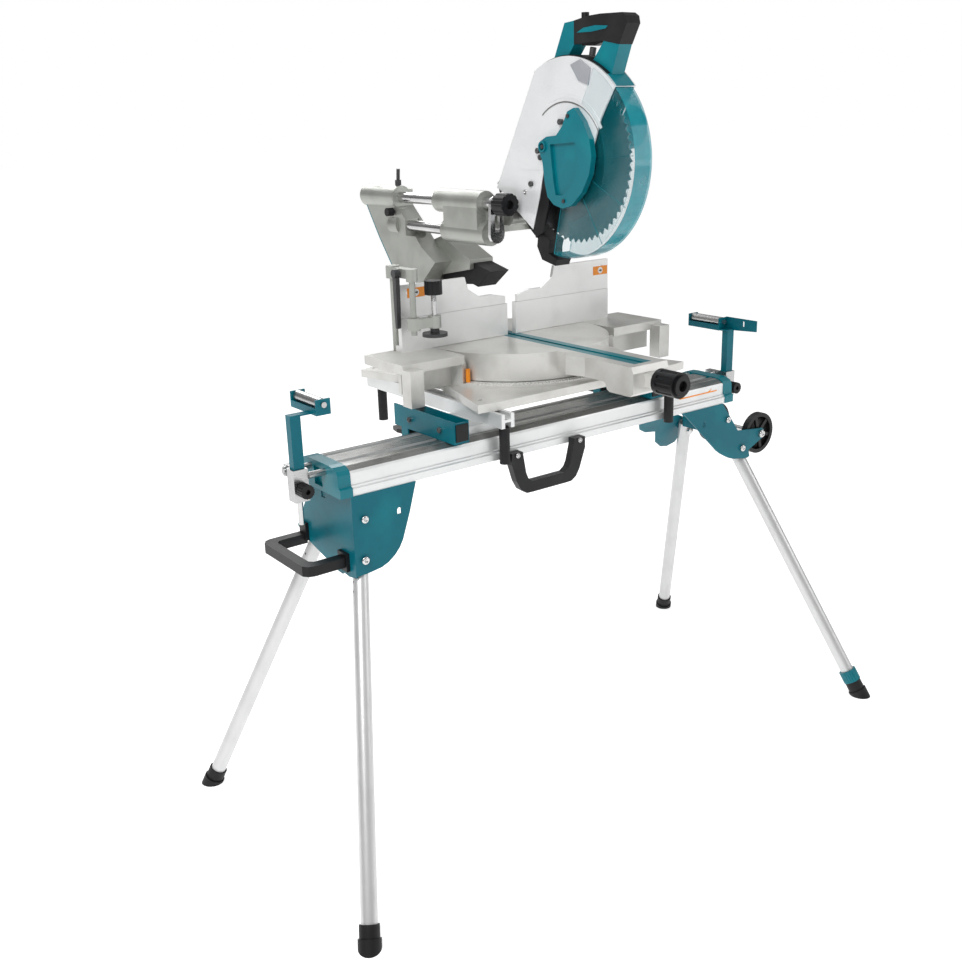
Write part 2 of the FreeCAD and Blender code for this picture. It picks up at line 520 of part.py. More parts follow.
small = rod_x(546, 1083, 9, -14, 2).fuse(rod_x(546, 1083, 4, 2, 20))
export("rail_lock_knob", [small])
stop = rod_z(RAIL_X, 545, 7, 1139.5, 1151).fuse(shaft(vec(RAIL_X, 545, 1147), vec(0, -0.1, 1), 4, 0, 28))
stop = stop.cut(rod_z(RAIL_X, 545, 4 + RUN, 1130, 1150.3))
export("bevel_stop_lever", [stop])

# ---------------------------------------------------------------- carriage
carriage = fuse([rod_y(RAIL_X, RAIL_UP, 24.5, 220, 380), rod_y(RAIL_X, RAIL_LOW, 24.5, 204, 353),
                 box(-3, 43, 222, 340, RAIL_LOW, RAIL_UP), box(20, 160, 216, 300, 1052, 1098)])
for x0, x1 in ((46, 60), (144.5, 160)):
    lug = fuse([rod_x(CHOP[0], CHOP[1], 16, x0, x1), box(x0, x1, CHOP[0], 218, 1070, 1098)])
    carriage = carriage.fuse(lug)
carriage = carriage.cut(rod_y(RAIL_X, RAIL_UP, RAIL_R + RUN - 0.01, 200, 400))
carriage = carriage.cut(rod_y(RAIL_X, RAIL_LOW, RAIL_R + RUN - 0.01, 200, 400))
carriage = carriage.cut(box(64, 141, 214, 232, 1052, 1066))
carriage = carriage.fuse(rod_x(CHOP[0], CHOP[1], 6, 46, 160))
for y in (240, 280):
    carriage = carriage.fuse(rod_z(60, y, 7, 1044, 1052))
export("carriage", [carriage.removeSplitter()])

duct = prism_x([(327, 936), (327, 968), (470, 942), (520, 934), (520, 928), (440, 926)], 62, 106)
wedge_tip = prism_x([(262, 968), (327, 983), (327, 936), (310, 932)], 60, 108)
guide = fuse([duct, wedge_tip]).cut(bevel)
export("dust_guide", [guide])

# ---------------------------------------------------------------- saw head
hub = ARBOR
gear = rod_x(hub[0], hub[1], 45, 108, 142)
arm_pts = [(24, 1241), (120, 1260), (205, 1246), (262, 1146), (206, 1110), (197, 1092)]
arm_pts += arc(CHOP[0], CHOP[1], 15, 0, -150, 8) + [(60, 1158)]
head = fuse([gear, prism_x(arm_pts, 108, 142), rod_x(CHOP[0], CHOP[1], 15, 61.5, 143),
             rod_x(ARBOR[0] + 30, ARBOR[1] + 55, 50, 118, 142)])
head = head.cut(prism_x([(120, 1240), (190, 1230), (238, 1150), (190, 1130), (110, 1190)], 118, 150))
head = head.cut(rod_x(CHOP[0], CHOP[1], 6 + RUN, 50, 160))
head = head.cut(rod_x(hub[0], hub[1], 8 + RUN, 100, 130))
export("head_arm", [head.removeSplitter()])

case_pts = arc(0, 0, 184, 136, 62, 24) + [(212, -55), (150, -80), (86, -90), (62, -62), (0, -62)]
case_pts += [(-50, -40), (-75, 20), (-97, 74)]
sides = [prism_x(pan(case_pts), 56, 59), prism_x(pan(case_pts), 105, 108)]
rim = rod_x(hub[0], hub[1], 184, 56, 108).cut(rod_x(hub[0], hub[1], 181.6, 56, 108))
rim = rim.common(prism_x(wedge(hub[0], hub[1], 240, 62, 136), 56, 108))
case = fuse([sides[0], sides[1], rim, rod_x(hub[0], hub[1], 39.95, 59, 64),
             rod_x(hub[0], hub[1], 39.95, 100, 105)])
lip = prism_x(arc(hub[0], hub[1], 118, 60, 150, 16) + arc(hub[0], hub[1], 112, 150, 60, 16), 55, 56)
case = case.fuse(lip)
case = case.cut(rod_x(hub[0], hub[1], 28, 58, 64)).cut(rod_x(hub[0], hub[1], 28, 99, 108))
export("blade_case", [case.removeSplitter()])

motor = rod_x(hub[0] + 30, hub[1] + 55, 46, 142, 236).fuse(rod_x(hub[0] + 30, hub[1] + 55, 41, 236, 258))
for z in (-24, -12, 0, 12, 24):
    motor = motor.cut(box(252, 260, hub[0] + 6, hub[0] + 54, hub[1] + 53 + z, hub[1] + 57 + z))
export("motor_housing", [motor])

strip = rod_x(hub[0], hub[1], 186, 60, 104).cut(rod_x(hub[0], hub[1], 184, 60, 104))
strip = strip.common(prism_x(wedge(hub[0], hub[1], 240, 60, 126), 60, 104))
rear_leg = [(58, 150), (13, 241), (-14, 243), (-14, 203), (0, 187), (16, 150)]
front_leg = [(-132, 196), (-92, 204), (-62, 170), (-60, 150), (-110, 140)]
keep = rod_x(hub[0], hub[1], 186, 50, 120)
frame = [prism_x(pan(rear_leg), 67, 97).cut(keep), prism_x(pan(front_leg), 67, 97).cut(keep)]
export("handle_frame", frame)
grip_pts = [(-14, 203), (-14, 243), (-50, 248), (-84, 249), (-138, 247), (-148, 241)]
grip_pts += [(-151, 229), (-132, 196), (-92, 204)]
grip = prism_x(pan(grip_pts), 66, 98)
grip = grip.cut(box(73, 91, hub[0] - 84, hub[0] - 26, hub[1] + 190, hub[1] + 221))
grip = grip.fuse(rod_x(hub[0] - 32, hub[1] + 210, 2, 73, 91))
button_y = hub[0] - 27
grip = grip.cut(rod_z(SAW_X, button_y, 7 + RUN, hub[1] + 226, hub[1] + 260))
export("handle_grip", [grip])
trigger = prism_x(pan([(-27, 206), (-30, 214), (-76, 213), (-82, 202), (-56, 198), (-28, 200)]),
                  73.4, 90.6)
trigger = trigger.cut(rod_x(hub[0] - 32, hub[1] + 210, 2 + RUN, 70, 95))
export("trigger", [trigger])
export("lock_off_button", [rod_z(SAW_X, button_y, 7, hub[1] + 232, hub[1] + 256)])

teeth = []
for i in range(60):
    a = 2 * math.pi * i / 60
    for r, da in ((BLADE_R, 0.0), (BLADE_R - 6.5, 0.022), (BLADE_R - 7, 0.05), (BLADE_R - 1, 0.096)):
        teeth.append((hub[0] + r * math.cos(a + da), hub[1] + r * math.sin(a + da)))
blade = prism_x(teeth, SAW_X - 1.2, SAW_X + 1.2)
blade = blade.cut(rod_x(hub[0], hub[1], 8, 70, 100))
arbor = fuse([rod_x(hub[0], hub[1], 8, 74, 126), rod_x(hub[0], hub[1], 22, 83.2, 89),
              rod_x(hub[0], hub[1], 22, 75, 80.8), rod_x(hub[0], hub[1], 10, 69, 75)])
export("saw_blade", [blade, arbor])

guard = rod_x(hub[0], hub[1], 180.5, 61, 103).cut(rod_x(hub[0], hub[1], 177.5, 63, 101))
inside = rod_x(hub[0], hub[1], 178, 63, 101)
guard = guard.cut(inside).common(prism_x(wedge(hub[0], hub[1], 240, 134, 283), 61, 103))
for x0 in (61, 101):
    ring = rod_x(hub[0], hub[1], 60, x0, x0 + 2)
    guard = guard.fuse(ring)
guard = guard.cut(rod_x(hub[0], hub[1], 39.95 + RUN, 50, 120))
export("lower_guard", [guard.removeSplitter()])

cover_pts = [(-38, 94), (-62, 70), (-80, 40), (-86, 10), (-80, -22), (-60, -55), (-30, -80)]
cover_pts += [(-5, -86), (20, -80), (38, -66), (46, -40), (52, -2), (62, 20), (58, 36), (40, 44)]
cover_pts += [(12, 46), (-5, 62), (-20, 88)]
cover = prism_x(pan(cover_pts), 44, 56)
recess = [(30, 30), (-40, 34), (-48, 8), (-44, -22), (-26, -48), (-4, -62), (14, -62), (20, -40)]
cover = cover.cut(prism_x(pan(recess), 44, 50))
cover = cover.fuse(rod_x(hub[0] + 50, hub[1] + 26, 10, 40, 56))
cover = cover.cut(rod_x(hub[0] + 50, hub[1] + 26, 7, 40, 46))
export("centre_cover", [cover.removeSplitter()])

band = prism_x(pan(arc(0, 0, 176, -14, -70, 12) + arc(0, 0, 160, -70, -14, 12)), 64, 100)
ears = prism_x(pan(arc(0, 0, 174, -17, -26, 4) + arc(0, 0, 162, -26, -17, 4)), 59, 105)
tip = prism_x(pan([(56, -152), (92, -146), (95, -165), (80, -190), (40, -199), (34, -187),
                   (60, -176), (60, -166)]), 64, 100)
export("dust_chute", [fuse([band, ears, tip]), strip])

screws = []
for y, z, r, x1 in ((50, 26, 4, 46), (-22, 80, 3.5, 44), (-10, -72, 3.5, 44)):
    screws.append(rod_x(hub[0] + y, hub[1] + z, r, 41, x1))
for y, z in ((8, 70), (74, 18), (66, 6), (96, -44)):
    screws.append(rod_x(hub[0] + y, hub[1] + z, 5, 50, 56))
plate_pts = [(-44, 176), (-72, 160), (-66, 132), (-40, 140), (-18, 168)]
screws.append(prism_x(pan(plate_pts), 53, 56))
knob_d = vec(0, math.cos(math.radians(104)), math.sin(math.radians(104)))
screws.append(shaft(vec(SAW_X, hub[0], hub[1]), knob_d, 6, -188, 202))
export("head_fasteners", screws)
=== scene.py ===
import json
import math

import bpy
from mathutils import Matrix, Vector


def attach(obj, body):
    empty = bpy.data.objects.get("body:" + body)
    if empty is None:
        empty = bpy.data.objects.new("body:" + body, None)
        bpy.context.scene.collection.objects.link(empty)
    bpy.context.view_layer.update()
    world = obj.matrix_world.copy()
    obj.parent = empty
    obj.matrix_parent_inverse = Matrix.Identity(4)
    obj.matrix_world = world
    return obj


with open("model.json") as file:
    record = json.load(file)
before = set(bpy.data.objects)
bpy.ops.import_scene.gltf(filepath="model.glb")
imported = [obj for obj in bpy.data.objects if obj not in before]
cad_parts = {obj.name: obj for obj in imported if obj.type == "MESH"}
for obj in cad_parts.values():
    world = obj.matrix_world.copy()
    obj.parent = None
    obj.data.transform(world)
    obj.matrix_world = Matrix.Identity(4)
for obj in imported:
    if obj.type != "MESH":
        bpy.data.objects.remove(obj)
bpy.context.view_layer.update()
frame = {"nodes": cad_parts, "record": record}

# Places below are in the design's millimetres: X along the beam, Y from front to back, Z up from
# the floor. The mitre pivot is at x = SAW_X, y = PIVOT_Y, and the blade turns about an X axis through
# ARBOR_Y, ARBOR_Z. place() moves a point into the imported parts' frame, in metres.
SHIFT_X = -0.9
SHIFT_Y = -168.7
SAW_X = 82.0
PIVOT_Y = 215.0
ARBOR_Y = 18.0
ARBOR_Z = 1197.0
WHEEL_X = 598.0
WHEEL_Z = 573.0
WHEEL_R = 47.0
FORWARD = (0, -1, 0)
BACKWARD = (0, 1, 0)
LEFTWARD = (-1, 0, 0)
UPWARD = (0, 0, 1)


def place(x, y, z):
    return Vector(((x + SHIFT_X) / 1000, (y + SHIFT_Y) / 1000, z / 1000))


# ---------------------------------------------------------------- materials
class Graph:
    """A material's node tree with short names for the nodes used here."""

    def __init__(self, name):
        self.material = bpy.data.materials.new(name)
        self.material.use_nodes = True
        self.tree = self.material.node_tree
        self.bsdf = self.tree.nodes["Principled BSDF"]
        coords = self.tree.nodes.new("ShaderNodeTexCoord")
        self.coords = coords.outputs["Object"]
        self.normals = coords.outputs["Normal"]

    def node(self, kind, **values):
        made = self.tree.nodes.new(kind)
        for key, value in values.items():
            setattr(made, key, value)
        return made

    def link(self, a, b):
        self.tree.links.new(a, b)

    def stretched(self, scale):
        mapping = self.node("ShaderNodeMapping")
        mapping.inputs["Scale"].default_value = scale
        self.link(self.coords, mapping.inputs["Vector"])
        return mapping.outputs["Vector"]

    def noise(self, scale, detail=4.0, stretch=(1, 1, 1)):
        made = self.node("ShaderNodeTexNoise")
        made.inputs["Scale"].default_value = scale
        made.inputs["Detail"].default_value = detail
        self.link(self.stretched(stretch), made.inputs["Vector"])
        return made.outputs["Fac"]

    def remap(self, value, low, high, to_low, to_high):
        made = self.node("ShaderNodeMapRange")
        made.inputs["From Min"].default_value = low
        made.inputs["From Max"].default_value = high
        made.inputs["To Min"].default_value = to_low
        made.inputs["To Max"].default_value = to_high
        self.link(value, made.inputs["Value"])
        return made.outputs["Result"]

    def mix(self, factor, a, b):
        made = self.node("ShaderNodeMix", data_type="RGBA")
        self.link(factor, made.inputs[0])
        made.inputs[6].default_value = (*a, 1)
        made.inputs[7].default_value = (*b, 1)
        return made.outputs[2]

    def bump(self, height, strength, distance):
        made = self.node("ShaderNodeBump")
        made.inputs["Strength"].default_value = strength
        made.inputs["Distance"].default_value = distance
        self.link(height, made.inputs["Height"])
        self.link(made.outputs["Normal"], self.bsdf.inputs["Normal"])


def surface(name, colour, worn, rough, metal, grain, relief, coat=0.0, stretch=(1, 1, 1),
            shine=0.5):
    """Two-tone base with patches of handling, a roughness that varies, and a fine surface grain."""
    g = Graph(name)
    g.bsdf.inputs["Specular IOR Level"].default_value = shine
    g.bsdf.inputs["Metallic"].default_value = metal
    g.bsdf.inputs["Coat Weight"].default_value = coat
    g.bsdf.inputs["Coat Roughness"].default_value = 0.12
    patches = g.remap(g.noise(14, 5), 0.46, 0.72, 0, 1)
    g.link(g.mix(patches, colour, worn), g.bsdf.inputs["Base Color"])
    fine = g.noise(grain, 3, stretch)
    g.link(g.remap(fine, 0.25, 0.75, rough[0], rough[1]), g.bsdf.inputs["Roughness"])
    g.bump(fine, 0.35, relief)
    return g.material


def clear_plastic(name, colour, worn, wall_alpha, rim_alpha):
    """Tinted clear plastic: its flat side walls are nearly clear and its curved rim is deeper."""
    g = Graph(name)
    g.bsdf.inputs["Metallic"].default_value = 0.0
    smudge = g.noise(22, 5)
    g.link(g.mix(g.remap(smudge, 0.42, 0.72, 0, 0.6), colour, worn), g.bsdf.inputs["Base Color"])
    g.link(g.remap(smudge, 0.3, 0.7, 0.04, 0.12), g.bsdf.inputs["Roughness"])
    split = g.node("ShaderNodeSeparateXYZ")
    g.link(g.normals, split.inputs[0])
    sideways = g.node("ShaderNodeMath", operation="ABSOLUTE")
    g.link(split.outputs["X"], sideways.inputs[0])
    walls = g.remap(sideways.outputs[0], 0.3, 0.9, rim_alpha, wall_alpha)
    cloudy = g.node("ShaderNodeMath", operation="MULTIPLY")
    g.link(walls, cloudy.inputs[0])
    g.link(g.remap(smudge, 0.3, 0.7, 0.88, 1.12), cloudy.inputs[1])
    g.link(cloudy.outputs[0], g.bsdf.inputs["Alpha"])
    g.bump(g.noise(60, 2), 0.05, 0.0004)
    return g.material


TEAL = (0.0, 0.115, 0.155)
TEAL_LIGHT = (0.0, 0.15, 0.19)
ALONG_X = (0.04, 1, 1)
ALONG_Y = (1, 0.04, 1)
ALONG_Z = (1, 1, 0.04)

MATERIALS = {
    "teal_paint": surface("teal paint", TEAL, (0.0, 0.15, 0.19), (0.3, 0.42), 0.0, 900,
                          0.00006, coat=0.05, shine=0.2),
    "silver_paint": surface("machined fence", (0.78, 0.78, 0.77), (0.7, 0.7, 0.69), (0.28, 0.42),
                            0.35, 500, 0.00004, stretch=ALONG_X),
    "case_white": surface("silver case paint", (0.8, 0.81, 0.82), (0.74, 0.75, 0.76), (0.22, 0.34),
                          0.25, 1200, 0.00003, coat=0.4),
    "extrusion": surface("anodised aluminium", (0.74, 0.75, 0.75), (0.66, 0.67, 0.67), (0.3, 0.44),
                         0.55, 700, 0.00004, stretch=ALONG_X),
    "leg_tube": surface("drawn aluminium tube", (0.63, 0.63, 0.63), (0.57, 0.57, 0.57), (0.28, 0.4),
                        0.5, 500, 0.00004, stretch=ALONG_Z),
    "cast_alloy": surface("painted casting", (0.4, 0.41, 0.38), (0.31, 0.315, 0.29),
                          (0.3, 0.46), 0.6, 1100, 0.00012),
    "steel": surface("ground steel", (0.5, 0.5, 0.5), (0.4, 0.4, 0.4), (0.22, 0.36), 1.0, 600,
                     0.00003, stretch=ALONG_X),
    "blade_steel": surface("blade steel", (0.17, 0.175, 0.18), (0.12, 0.125, 0.13), (0.24, 0.38), 1.0,
                           500, 0.00003),
    "bright": surface("plated steel", (0.62, 0.62, 0.62), (0.5, 0.5, 0.5), (0.14, 0.26), 1.0,
                      700, 0.00002, stretch=ALONG_Y),
    "black_plastic": surface("black plastic", (0.005, 0.005, 0.006), (0.012, 0.012, 0.013),
                             (0.34, 0.5), 0.0, 1300, 0.00012, shine=0.3),
    "teal_plastic": surface("teal plastic", TEAL_LIGHT, (0.0, 0.19, 0.225), (0.26, 0.38), 0.0,
                            1000, 0.00005, coat=0.12, shine=0.3),
    "rubber_black": surface("soft black rubber", (0.006, 0.006, 0.007), (0.016, 0.016, 0.017),
                            (0.46, 0.64), 0.0, 1500, 0.00016, shine=0.3),
    "dark_paint": surface("dark grey paint", (0.045, 0.045, 0.048), (0.09, 0.09, 0.09),
                          (0.3, 0.45), 0.3, 900, 0.00006),
    "clear_teal": clear_plastic("clear teal guard", (0.0, 0.25, 0.31), (0.02, 0.34, 0.39), 0.11, 0.74),
    "clear_sheet": clear_plastic("clear guard wall", (0.0, 0.26, 0.32), (0.03, 0.36, 0.42), 0.05, 0.45),
    "base_casting": surface("bright base casting", (0.66, 0.655, 0.63), (0.54, 0.53, 0.5),
                            (0.26, 0.42), 0.45, 1000, 0.0001),
    # Darker grey that paints shade: painted shade and painted reflection on the beam's top faces, and
    # painted shade in the case's grooves.
    "painted_shade_grey": surface("painted shade grey", (0.3, 0.3, 0.29), (0.22, 0.22, 0.21), (0.24, 0.38), 0.8, 700,
                        0.00005, stretch=ALONG_X),
    "scale_plate": surface("scale plate", (0.78, 0.78, 0.76), (0.64, 0.64, 0.62), (0.2, 0.34), 0.5,
                           700, 0.00003),
    "smoke_plate": surface("smoke grey plate", (0.36, 0.37, 0.4), (0.46, 0.46, 0.49), (0.2, 0.34),
                           0.2, 900, 0.00004, coat=0.3),
    "orange": surface("orange print", (0.85, 0.27, 0.01), (0.72, 0.22, 0.01), (0.35, 0.5), 0.0,
                      900, 0.00003),
    "white_ink": surface("white print", (0.8, 0.8, 0.8), (0.7, 0.7, 0.7), (0.4, 0.5), 0.0, 900,
                         0.00002),
    "black_ink": surface("black print", (0.01, 0.01, 0.01), (0.02, 0.02, 0.02), (0.4, 0.5), 0.0,
                         900, 0.00002),
}

# ---------------------------------------------------------------- CAD nodes: finish and soft edges
SPECIAL = {
    "leg_front_left": "leg_tube", "leg_front_right": "leg_tube", "leg_rear_left": "leg_tube",
    "leg_rear_right": "leg_tube", "saw_base": "base_casting", "mitre_scale": "scale_plate",
    "turntable": "base_casting",
}
EDGE_MM = {
    "handle_grip": 6.0, "handle_frame": 4.5, "centre_cover": 3.0, "carry_handle": 3.5,
    "end_handle": 4.0, "head_arm": 2.5, "bevel_arm": 3.0, "carriage": 2.5, "motor_housing": 3.0,
    "saw_base": 1.6, "turntable": 1.6, "dust_guide": 3.0, "dust_chute": 1.2, "mitre_grip": 2.0,
    "bevel_lock_knob": 1.6, "trigger": 1.5, "vise_post": 1.5, "vise_lever": 2.0, "rail_feet": 1.5,
    "beam_end_caps": 1.2, "saw_blade": 0.2, "lower_guard": 0.6, "fence_base": 0.8,
}
slot_of = {part["node"]: part["material_slot"] for part in frame["record"]["subparts"]}


def soften(obj, width_mm):
    flat = obj.modifiers.new("merge flat faces", "DECIMATE")
    flat.decimate_type = "DISSOLVE"
    flat.angle_limit = math.radians(1.5)
    flat.delimit = {"NORMAL", "MATERIAL"}
    edge = obj.modifiers.new("edge", "BEVEL")
    edge.width = width_mm / 1000
    edge.segments = 3
    edge.limit_method = "ANGLE"
    edge.angle_limit = math.radians(38)
    edge.harden_normals = True
    edge.use_clamp_overlap = True


for name, obj in frame["nodes"].items():
    material = MATERIALS[SPECIAL.get(name, slot_of[name])]
    obj.data.materials.clear()
    obj.data.materials.append(material)
    for polygon in obj.data.polygons:
        polygon.use_smooth = True
    soften(obj, EDGE_MM.get(name, 0.7))


def zone(name, material, inside, facing_up=False):
    """Give part of a node another finish, where inside(x, y, z) holds for a face's middle in mm."""
    obj = frame["nodes"][name]
    obj.data.materials.append(MATERIALS[material])
    spot = len(obj.data.materials) - 1
    for polygon in obj.data.polygons:
        c = polygon.center
        if facing_up and polygon.normal.z < 0.5:
            continue
        if inside(c.x * 1000 - SHIFT_X, c.y * 1000 - SHIFT_Y, c.z * 1000):
            polygon.material_index = spot


for leg in ("leg_front_left", "leg_front_right", "leg_rear_left", "leg_rear_right"):
    zone(leg, "rubber_black", lambda x, y, z: z < 46)
zone("vise_screw", "black_plastic", lambda x, y, z: z > 953)
# The orange patch on the scale's left front is a painted reflection, not print.
zone("mitre_scale", "orange", lambda x, y, z: x < -100 and y < 140 and z > 783)
# The beam's upward faces get the darker grey: painted shade and painted reflection of the saw above
# them.
zone("main_beam", "painted_shade_grey", lambda x, y, z: z > 700, facing_up=True)
zone("head_fasteners", "smoke_plate", lambda x, y, z: x < 56.5 and z > 1320)
zone("bevel_arm", "teal_plastic", lambda x, y, z: y > 672.4)
zone("support_post_left", "bright", lambda x, y, z: z < 660)

# ---------------------------------------------------------------- mesh helpers
def add_mesh(name, points, faces, material, body, smooth=False):
    mesh = bpy.data.meshes.new(name)
    mesh.from_pydata([place(*p) for p in points], [], faces)
    mesh.update()
    obj = bpy.data.objects.new(name, mesh)
    bpy.context.scene.collection.objects.link(obj)
    mesh.materials.append(MATERIALS[material])
    for polygon in mesh.polygons:
        polygon.use_smooth = smooth
    if body:
        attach(obj, body)
    return obj


def extruded(name, outline, axis, start, stop, material, body):
    """A prism from an outline: (y, z) pairs along X, (x, z) along Y or (x, y) along Z."""
    def point(pair, along):
        spots = {"X": (along, *pair), "Y": (pair[0], along, pair[1]), "Z": (*pair, along)}
        return spots[axis]

    count = len(outline)
    points = [point(p, start) for p in outline] + [point(p, stop) for p in outline]
    faces = [tuple(range(count)), tuple(range(2 * count - 1, count - 1, -1))]
    for i in range(count):
        j = (i + 1) % count
        faces.append((i, i + count, j + count, j))
    return add_mesh(name, points, faces, material, body)


def turned(name, base, direction, profile, material, body, steps=40, caps=True):
    """A turned piece: profile is (distance along direction, radius) pairs from base, all in mm."""
    axis = Vector(direction).normalized()
    side = axis.orthogonal().normalized()
    other = axis.cross(side)
    points = []
    for along, radius in profile:
        for i in range(steps):
            angle = 2 * math.pi * i / steps
            spot = Vector(base) + axis * along
            spot += (side * math.cos(angle) + other * math.sin(angle)) * radius
            points.append(tuple(spot))
    faces = []
    for row in range(len(profile) - 1):
        for i in range(steps):
            j = (i + 1) % steps
            faces.append((row * steps + i, row * steps + j, (row + 1) * steps + j,
                          (row + 1) * steps + i))
    if caps:
        faces.append(tuple(reversed(range(steps))))
        faces.append(tuple(range((len(profile) - 1) * steps, len(profile) * steps)))
    return add_mesh(name, points, faces, material, body, smooth=True)


def bolt_head(name, base, direction, radius, height, body, material="bright"):
    """A domed head with a round recess."""
    r = radius
    profile = [(0, r), (0.55 * height, r), (0.85 * height, 0.86 * r), (height, 0.62 * r),
               (height, 0.42 * r), (0.5 * height, 0.38 * r)]
    return turned(name, base, direction, profile, material, body, steps=36)


def ring_piece(name, y, z, radius, width, x0, x1, start, stop, material, body, steps=48):
    """Part of a flat ring about an X axis, given in degrees from +Y towards +Z."""
    outline = []
    for i in range(steps + 1):
        angle = math.radians(start + (stop - start) * i / steps)
        outline.append((y + (radius + width) * math.cos(angle), z + (radius + width) * math.sin(angle)))
    for i in range(steps, -1, -1):
        angle = math.radians(start + (stop - start) * i / steps)
        outline.append((y + radius * math.cos(angle), z + radius * math.sin(angle)))
    points = [(x0, *p) for p in outline] + [(x1, *p) for p in outline]
    count = len(outline)
    faces = []
    for i in range(steps):
        faces.append((i, i + 1, count - 2 - i, count - 1 - i))
        faces.append((count + i + 1, count + i, 2 * count - 1 - i, 2 * count - 2 - i))
    for i in range(count):
        j = (i + 1) % count
        faces.append((i, count + i, count + j, j))
    return add_mesh(name, points, faces, material, body)


# ---------------------------------------------------------------- stand details
def beam_arrow():
    """The orange line with its arrow head on the beam's front."""
    face = -25.9
    line = [(336, 695.6), (336, 698.4), (452, 698.4), (452, 695.6)]
    head = [(424, 698.4), (436, 703.5), (430, 698.4)]
    extruded("beam_line", line, "Y", face - 0.5, face, "orange", "stand")
    extruded("beam_line_head", head, "Y", face - 0.5, face, "orange", "stand")


def bracket_rivets():
    """Domed heads on the pins in the leg brackets, and on the wheel axle's end."""
    pin_face = -37.0
    axle_face = -38.0
    height = 3.2
    spots = [(-455, 621, 7), (-459, 545, 7.5), (482, 627, 7), (535, 551, 7.5)]
    for index, (x, z, radius) in enumerate(spots):
        bolt_head(f"bracket_rivet_{index}", (x, pin_face, z), FORWARD, radius, height, "stand")
    bolt_head(f"bracket_rivet_{len(spots)}", (WHEEL_X, axle_face, WHEEL_Z), FORWARD, 8.5, height,
              "stand")


def handle_screws():
    for index, x in enumerate((-124, 32)):
        bolt_head(f"handle_screw_{index}", (x, -50, 672), FORWARD, 5, 3, "stand")


def clamp_caps():
    """Black caps that close the front ends of the two mounting clamps."""
    half_width = 13.5
    bottom, top = 722, 754
    for index, x in enumerate((-244.5, 253.0)):
        outline = [(x - half_width, bottom), (x + half_width, bottom), (x + half_width, top),
                   (x - half_width, top)]
        extruded(f"clamp_cap_{index}", outline, "Y", -42.5, -39.8, "black_plastic", "stand")


def clamp_bolts():
    for index, y in enumerate((2, 102)):
        bolt_head(f"clamp_bolt_{index}", (-265, y, 738), LEFTWARD, 5.5, 3, "stand", "dark_paint")


def wheel_webs():
    """A thin ring in each wheel, from the hub out to the tyre."""
    thickness = 3
    hub = 12.5
    rim = WHEEL_R - 8.5
    web = [(0, hub), (thickness, hub), (thickness, rim), (0, rim), (0, hub)]
    for body, y in (("front_wheel", -24.5), ("rear_wheel", 105.5)):
        turned(body + "_web", (WHEEL_X, y, WHEEL_Z), BACKWARD, web, "black_plastic", body, caps=False)


beam_arrow()
bracket_rivets()
handle_screws()
clamp_caps()
clamp_bolts()
wheel_webs()


# ---------------------------------------------------------------- saw details
def fence_label(name, x0, x1, z0, z1, body):
    """An orange label on a sliding fence, with a plain arrow in a white disc."""
    face = 222.9
    disc_radius = 7
    middle = (x0 + x1) / 2
    centre = (z0 + z1) / 2
    sheet = [(x0, z0), (x1, z0), (x1, z1), (x0, z1)]
    extruded(name, sheet, "Y", face - 0.3, face + 0.05, "orange", body)
    angles = [math.radians(a) for a in range(0, 360, 12)]
    disc = [(middle + disc_radius * math.cos(a), centre + disc_radius * math.sin(a)) for a in angles]
    extruded(name + "_disc", disc, "Y", face - 0.5, face - 0.25, "white_ink", body)
    arrow = [(middle - 4, centre - 1.2), (middle + 1, centre - 1.2), (middle + 1, centre - 3.6),
             (middle + 5, centre), (middle + 1, centre + 3.6), (middle + 1, centre + 1.2),
             (middle - 4, centre + 1.2)]
    extruded(name + "_arrow", arrow, "Y", face - 0.7, face - 0.45, "black_ink", body)


def scale_ticks():
    """A line every two degrees on the mitre scale, longer every ten."""
    top = 782.15
    outer = 220
    long_inner, short_inner = 207.0, 213.0
    half_width = 0.35
    span = 58
    points = []
    faces = []
    for step in range(-span, span + 1, 2):
        angle = math.radians(270 + step)
        inner = long_inner if step % 10 == 0 else short_inner
        along = Vector((math.cos(angle), math.sin(angle)))
        across = Vector((-along.y, along.x)) * half_width
        corners = [along * inner - across, along * outer - across, along * outer + across,
                   along * inner + across]
        first = len(points)
        points += [(SAW_X + c.x, PIVOT_Y + c.y, top) for c in corners]
        faces.append((first, first + 1, first + 2, first + 3))
    add_mesh("scale_ticks", points, faces, "black_ink", "stand")


def grip_inlays():
    """The teal inlays in both sides of the black grip; (y, z) from the blade's arbor."""
    from_arbor = [(-22, 222), (-40, 229), (-72, 231), (-104, 228), (-98, 224), (-60, 221)]
    outline = [(ARBOR_Y + y, ARBOR_Z + z) for y, z in from_arbor]
    extruded("grip_inlay_left", outline, "X", 65.4, 66.2, "teal_plastic", "head")
    extruded("grip_inlay_right", outline, "X", 97.8, 98.6, "teal_plastic", "head")


def case_bolts():
    """Bolts on the side of the blade case; (y, z) from the blade's arbor."""
    for index, (y, z) in enumerate([(8, 70), (74, 18), (66, 6), (96, -44)]):
        spot = (50.0, ARBOR_Y + y, ARBOR_Z + z)
        bolt_head(f"case_bolt_{index}", spot, LEFTWARD, 5.5, 3, "head", "dark_paint")


def guard_ribs():
    """Thin radial ribs on the clear guard's side wall: (start, stop) angles in degrees."""
    for index, (start, stop) in enumerate([(176, 176.94), (206, 206.76), (236, 236.58)]):
        ring_piece(f"guard_rib_{index}", ARBOR_Y, ARBOR_Z, 60, 116, 60.4, 61.2, start, stop,
                   "clear_teal", "guard", steps=2)


